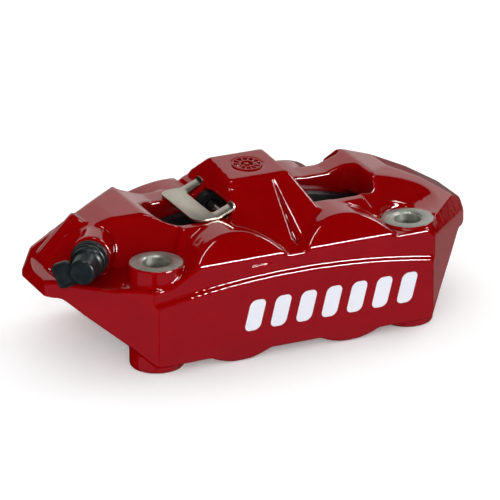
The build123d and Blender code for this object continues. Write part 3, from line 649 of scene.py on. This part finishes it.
make_piece("bleed_cap_tab_rim", tab_rim(), "bleed_cap", CAP, sharp_deg=50.0, bevel_mm=0.2)
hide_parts("bleed_cap")


# ------------------------------------------------------------------ pad spring, cut flat and then bent
SPRING_X = -30.5
SPRING_Z = 47.12
SPRING_THICKNESS = 0.8
SPRING_FRONT_Y = 9.6
SPRING_BACK_Y = 42.4
STRIP_WIDTH = 8.8
STRIP_CORNER_R = 4.2
ARM_WIDTH = 5.0
ARM_END = 18.2
ARM_TIP_R = 1.6
ARM_FILLET_R = 2.0
BENDS = [(8.6, 3.4, 22.0), (15.4, 1.7, 58.0)]    # where each starts, its radius and its degrees
FIRST_CUT = 1.0
FLAT_CUTS = 2.0         # distance between cuts across the flat strip
BEND_CUTS = 0.35        # and across the bends


def corner_arc(cx, cy, radius, start_deg, end_deg, steps=8):
    turns = [math.radians(start_deg + (end_deg - start_deg) * k / steps) for k in range(steps + 1)]
    return [(cx + radius * math.cos(a), cy + radius * math.sin(a)) for a in turns]


def spring_outline():
    """Flat shape in s (across the strip and up the arms) and y: a strip with an arm at each end."""
    front = SPRING_FRONT_Y
    inner = front + ARM_WIDTH
    tip = ARM_END - ARM_TIP_R
    half = [
        *corner_arc(STRIP_CORNER_R, front + STRIP_CORNER_R, STRIP_CORNER_R, 180, 270),
        *corner_arc(tip, front + ARM_TIP_R, ARM_TIP_R, 270, 360),
        *corner_arc(tip, inner - ARM_TIP_R, ARM_TIP_R, 0, 90),
        *corner_arc(STRIP_WIDTH + ARM_FILLET_R, inner + ARM_FILLET_R, ARM_FILLET_R, 270, 180),
    ]
    return half + [(s, SPRING_FRONT_Y + SPRING_BACK_Y - y) for s, y in reversed(half)]


def bent(s):
    """Place (x, z) of the sheet at distance s across it, after both bends."""
    x, z, angle, done = SPRING_X, SPRING_Z, 0.0, 0.0
    for start, radius, degrees in BENDS:
        flat = min(s, start) - done
        x, z = x + flat * math.cos(angle), z + flat * math.sin(angle)
        if s <= start:
            return x, z
        turn = min((s - start) / radius, math.radians(degrees))
        x += radius * (math.sin(angle + turn) - math.sin(angle))
        z += radius * (math.cos(angle) - math.cos(angle + turn))
        angle += turn
        done = start + radius * turn
    rest = max(s - done, 0.0)
    return x + rest * math.cos(angle), z + rest * math.sin(angle)


def build_spring():
    bm = bmesh.new()
    face = bm.faces.new([bm.verts.new((s, y, 0)) for s, y in spring_outline()])
    face.normal_update()
    cut = FIRST_CUT
    while cut < ARM_END:
        everything = bm.verts[:] + bm.edges[:] + bm.faces[:]
        bmesh.ops.bisect_plane(bm, geom=everything, plane_co=(cut, 0, 0), plane_no=(1, 0, 0))
        cut += FLAT_CUTS if cut < BENDS[0][0] - FLAT_CUTS else BEND_CUTS
    for v in bm.verts:
        x, z = bent(v.co.x)
        v.co = Vector((x, v.co.y, z)) * MM
    bmesh.ops.recalc_face_normals(bm, faces=bm.faces[:])
    if sum(f.normal.z for f in bm.faces) < 0:
        bmesh.ops.reverse_faces(bm, faces=bm.faces[:])
    mesh = bpy.data.meshes.new("pad_spring_leaf")
    bm.to_mesh(mesh)
    bm.free()
    mesh.materials.append(SPRING)
    mesh.shade_smooth()
    leaf = add_object("pad_spring_leaf", mesh)
    thick = leaf.modifiers.new("thickness", "SOLIDIFY")
    thick.thickness = SPRING_THICKNESS * MM
    thick.offset = 1.0
    soften(leaf, width_mm=0.16, angle_deg=40.0)
    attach(leaf, "caliper")
    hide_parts("pad_spring")


build_spring()


# ------------------------------------------------------------------ inlet port: machined rim and thread
INLET_RIM = (-62.6, 63.6, 24.0)
INLET_DIR = (-0.3, 0.954, 0.0)
THREAD_TURNS = 10
THREAD_PITCH = 1.0
THREAD_CREST_R = 4.55
THREAD_ROOT_R = 4.95
THREAD_BACK_R = 4.98

thread_profile = [(7.1, -0.3), (7.1, 0.02), (6.9, 0.12), (5.35, 0.12), (THREAD_ROOT_R, -0.3)]
for k in range(THREAD_TURNS):
    thread_profile += [(THREAD_CREST_R, -0.75 - k * THREAD_PITCH), (THREAD_ROOT_R, -1.25 - k * THREAD_PITCH)]
thread_profile += [(4.4, -10.8), (THREAD_BACK_R, -10.95), (THREAD_BACK_R, -0.35)]
thread = lathe(thread_profile, INLET_RIM, INLET_DIR)
make_piece("inlet_port_thread", thread, "caliper", MACHINED, sharp_deg=28.0)


# ------------------------------------------------------------------ finishes of the CAD nodes
SHOWN = {
    "pad_pin": ("pin_steel", PIN),
    "pin_clip": ("clip_steel", CLIP),
    "gallery_plugs": ("plug_steel", PLUG),
    "bleed_screw": ("screw_steel", SCREW),
}
for half in ("outboard", "inboard"):
    SHOWN[f"{half}_backing_plate"] = ("backing_steel", BACKING)
    SHOWN[f"{half}_friction_pad"] = ("friction_material", FRICTION)
    for end in ("left", "right"):
        SHOWN[f"pressure_seal_{half}_{end}"] = ("seal_rubber", RUBBER)
        SHOWN[f"dust_seal_{half}_{end}"] = ("seal_rubber", RUBBER)
        SHOWN[f"{half}_piston_{end}"] = ("piston", PISTON)
REPLACED = {"caliper_body": PAINT, "bleed_cap": CAP, "pad_spring": SPRING}


def finish_node(node, mat):
    NODES[node].data.materials.clear()
    NODES[node].data.materials.append(mat)


for node, (slot_name, mat) in SHOWN.items():
    finish_node(node, mat)
for node, mat in REPLACED.items():
    finish_node(node, mat)


# ------------------------------------------------------------------ stage
FLOOR_R = 1.8
CURVE_R = 0.7
WALL_TOP = 3.0
FLOOR_DROP = 0.0001     # the floor lies this far under the boss feet
STAGE_STEPS = 96
STAGE_TONE = (0.93, 0.93, 0.93, 1.0)
STAGE_GLOW = 0.2


def stage_material():
    """Matt off-white that glows a little, so that the floor stays pale."""
    mat, _, bsdf = new_material("stage")
    bsdf.inputs["Base Color"].default_value = STAGE_TONE
    bsdf.inputs["Roughness"].default_value = 0.9
    bsdf.inputs["Specular IOR Level"].default_value = 0.0
    bsdf.inputs["Emission Color"].default_value = (1.0, 1.0, 1.0, 1.0)
    bsdf.inputs["Emission Strength"].default_value = STAGE_GLOW
    return mat


def stage_sweep():
    """A pale floor that curves up into a wall all round."""
    profile = [(0.0, 0.0), (FLOOR_R, 0.0)]
    for degrees in range(10, 91, 10):
        a = math.radians(degrees)
        profile.append((FLOOR_R + CURVE_R * math.sin(a), CURVE_R - CURVE_R * math.cos(a)))
    profile.append((FLOOR_R + CURVE_R, WALL_TOP))
    verts, faces, rings = [], [], []
    for radius, z in profile:
        ring = []
        for k in range(1 if radius == 0 else STAGE_STEPS):
            a = 2 * math.pi * k / STAGE_STEPS
            ring.append(len(verts))
            verts.append((radius * math.cos(a), radius * math.sin(a), z - FLOOR_DROP))
        rings.append(ring)
    for a, b in zip(rings, rings[1:]):
        for k in range(STAGE_STEPS):
            n = (k + 1) % STAGE_STEPS
            faces.append((a[0], b[k], b[n]) if len(a) == 1 else (a[k], b[k], b[n], a[n]))
    mesh = bpy.data.meshes.new("sweep")
    mesh.from_pydata(verts, [], faces)
    mesh.shade_smooth()
    mesh.materials.append(stage_material())
    sweep = add_object("sweep", mesh)
    sweep.visible_glossy = False


stage_sweep()


# ------------------------------------------------------------------ lights
# Fill lights give the diffuse light, and reflection lights show only in the gloss. Each row is a
# name, azimuth and elevation in degrees, distance, width and height in metres, and watts.
CENTRE = (0.0, 0.02, 0.03)
WHITE = (1.0, 1.0, 1.0)
COOL = (0.8, 0.88, 1.35)
FILL_LIGHTS = (
    ("key", -30, 20, 1.6, 1.4, 1.2, 12.5),
    ("right_fill", 105, 30, 1.5, 1.0, 1.0, 4.0),
    ("rear_top", 170, 50, 1.4, 1.6, 1.6, 5.5),
)
REFLECTION_LIGHTS = (
    ("back_wall", 155, 19, 1.9, 2.66, 1.25, 8.8, WHITE),
    ("back_floor", 150, -12, 1.9, 2.4, 0.85, 0.9, WHITE),
    ("front_strip", 28, 20, 1.4, 0.5, 0.25, 30, WHITE),
    ("top_strip", 0, 88, 1.4, 0.5, 0.12, 5.5, WHITE),
    ("right_strip", 103, 47, 1.4, 0.3, 0.25, 4.5, WHITE),
    ("front_floor", 25, -38, 1.4, 2.6, 1.6, 3.0, COOL),
    ("left_floor", -75, -30, 1.4, 1.6, 1.2, 1.4, COOL),
    ("right_floor", 108, -32, 1.4, 1.5, 1.2, 0.55, WHITE),
)
WORLD_STRENGTH = 0.34


def direction(azimuth, elevation, distance):
    """A point that lies that way from the object: azimuth 0 is the front, 90 its right end."""
    a, e = math.radians(azimuth), math.radians(elevation)
    x = distance * math.sin(a) * math.cos(e)
    y = -distance * math.cos(a) * math.cos(e)
    return x, y, distance * math.sin(e)


def softbox(name, azimuth, elevation, distance, width, height, watts, tint=WHITE):
    """A rectangular light that faces the object."""
    data = bpy.data.lights.new(name, "AREA")
    data.shape = "RECTANGLE"
    data.size = width
    data.size_y = height
    data.energy = watts
    data.color = tint
    light = add_object(name, data)
    light.location = direction(azimuth, elevation, distance)
    light.rotation_mode = "QUATERNION"
    light.rotation_quaternion = (Vector(CENTRE) - light.location).to_track_quat("-Z", "Y")
    return light


for row in FILL_LIGHTS:
    softbox(*row).visible_glossy = False
for row in REFLECTION_LIGHTS:
    softbox(*row).visible_diffuse = False

world = bpy.data.worlds.new("studio")
bpy.context.scene.world = world
world.use_nodes = True
background = world.node_tree.nodes["Background"]
background.inputs["Color"].default_value = (1.0, 1.0, 1.0, 1.0)
background.inputs["Strength"].default_value = WORLD_STRENGTH
world.cycles_visibility.glossy = False
bpy.context.scene.view_settings.view_transform = "Standard"


# ------------------------------------------------------------------ camera
CAMERA_TARGET = Vector((-0.01325, 0.0, 0.03747))
CAMERA_AZIMUTH = -25.06
CAMERA_ELEVATION = 22.09
CAMERA_DISTANCE = 1.5
SENSOR_WIDTH = 36.0     # mm, as Blender gives it
IMAGE_WIDTH = 500
IMAGE_SCALE = 2.79      # image pixels to a millimetre at the target

camera_data = bpy.data.cameras.new("camera")
camera_data.sensor_width = SENSOR_WIDTH
camera_data.lens = SENSOR_WIDTH * IMAGE_SCALE * (CAMERA_DISTANCE / MM) / IMAGE_WIDTH
camera_data.clip_start = 0.01
camera_data.clip_end = 20.0
camera = add_object("camera", camera_data)
camera.location = CAMERA_TARGET + Vector(direction(CAMERA_AZIMUTH, CAMERA_ELEVATION, CAMERA_DISTANCE))
camera.rotation_mode = "QUATERNION"
camera.rotation_quaternion = (CAMERA_TARGET - camera.location).to_track_quat("-Z", "Y")
bpy.context.scene.camera = camera
